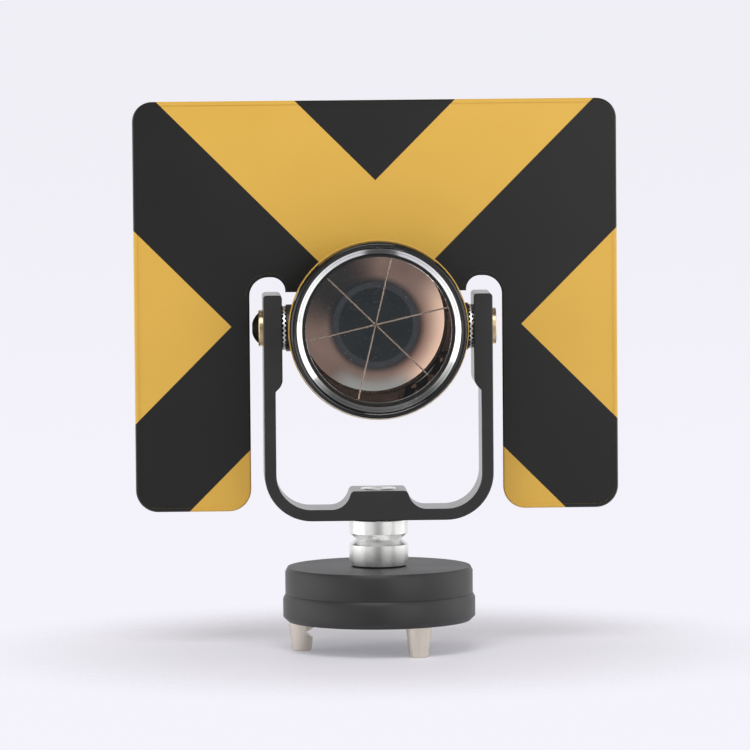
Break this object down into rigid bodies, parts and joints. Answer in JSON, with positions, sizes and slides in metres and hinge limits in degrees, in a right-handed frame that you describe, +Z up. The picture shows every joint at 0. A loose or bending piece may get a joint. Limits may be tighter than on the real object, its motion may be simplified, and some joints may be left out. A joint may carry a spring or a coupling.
{
  "type": "survey prism",
  "caption": "Corner-cube survey prism with a striped target plate, tilting in a U-shaped yoke that swings on a tribrach adapter with bayonet studs.",
  "frame": {"origin": "on the adapter's centre line, in the plane of the three bayonet studs' tips, under the crossing of the pan axis and the tilt axis", "axes": "+Z up along the pan axis; the prism and the target plate face -Y; +X to the right as seen from the front, along the tilt axis"},
  "size_m": [0.2062, 0.082, 0.2341],
  "materials": {
    "black_anodised": "satin black anodised, fine bead-blasted",
    "black_yoke": "satin black anodised",
    "black_screw": "blackened button head",
    "nickel_stud": "nickel plated, satin",
    "screw_steel": "bright zinc plated steel",
    "black_rubber": "matt rubber",
    "bright_aluminium": "bright turned",
    "brass": "turned brass",
    "yellow_canister": "yellow enamel over aluminium",
    "gloss_black_bezel": "polished black anodised",
    "optical_glass": "polished, with coated rear faces",
    "black_plastic": "moulded",
    "target_yellow": "yellow satin plate printed with black diagonal bands"
  },
  "bodies": {
    "adapter": {"adapter_base": "black_anodised", "adapter_cap": "black_anodised", "foot_stud_1": "nickel_stud", "foot_stud_2": "nickel_stud", "foot_stud_3": "nickel_stud", "cover_screw_1": "screw_steel", "cover_screw_2": "screw_steel", "cover_screw_3": "screw_steel", "threaded_stud": "screw_steel", "collar_washer": "black_rubber", "spigot_collar": "bright_aluminium", "friction_washer": "brass", "pan_screw": "screw_steel", "pan_spring": "screw_steel"},
    "swivel": {"yoke": "black_yoke", "pan_bush": "brass", "pivot_bush_left": "brass", "pivot_bush_right": "brass", "tooth_washer_left": "screw_steel", "tooth_washer_right": "screw_steel"},
    "head": {"holder_ring": "black_anodised", "prism_canister": "yellow_canister", "bezel_ring": "gloss_black_bezel", "front_gasket": "black_rubber", "corner_cube_glass": "optical_glass", "prism_seat": "black_plastic", "rear_cap": "black_plastic", "target_plate": "target_yellow", "ring_nut": "black_anodised", "pivot_screw": "brass"},
    "tilt_screw": {"friction_screw": "black_screw"}
  },
  "joints": [
    {"name": "pan", "type": "hinge", "parent": "adapter", "child": "swivel", "pos_m": [0, 0, 0.0564], "axis": [0, 0, 1], "continuous": true},
    {"name": "tilt", "type": "hinge", "parent": "swivel", "child": "head", "pos_m": [0, 0, 0.138], "axis": [1, 0, 0], "range_deg": [-110, 165]},
    {"name": "tilt_screw_turn", "type": "hinge", "parent": "head", "child": "tilt_screw", "pos_m": [-0.0495, 0, 0.138], "axis": [-1, 0, 0], "range_deg": [0, 180]}
  ]
}
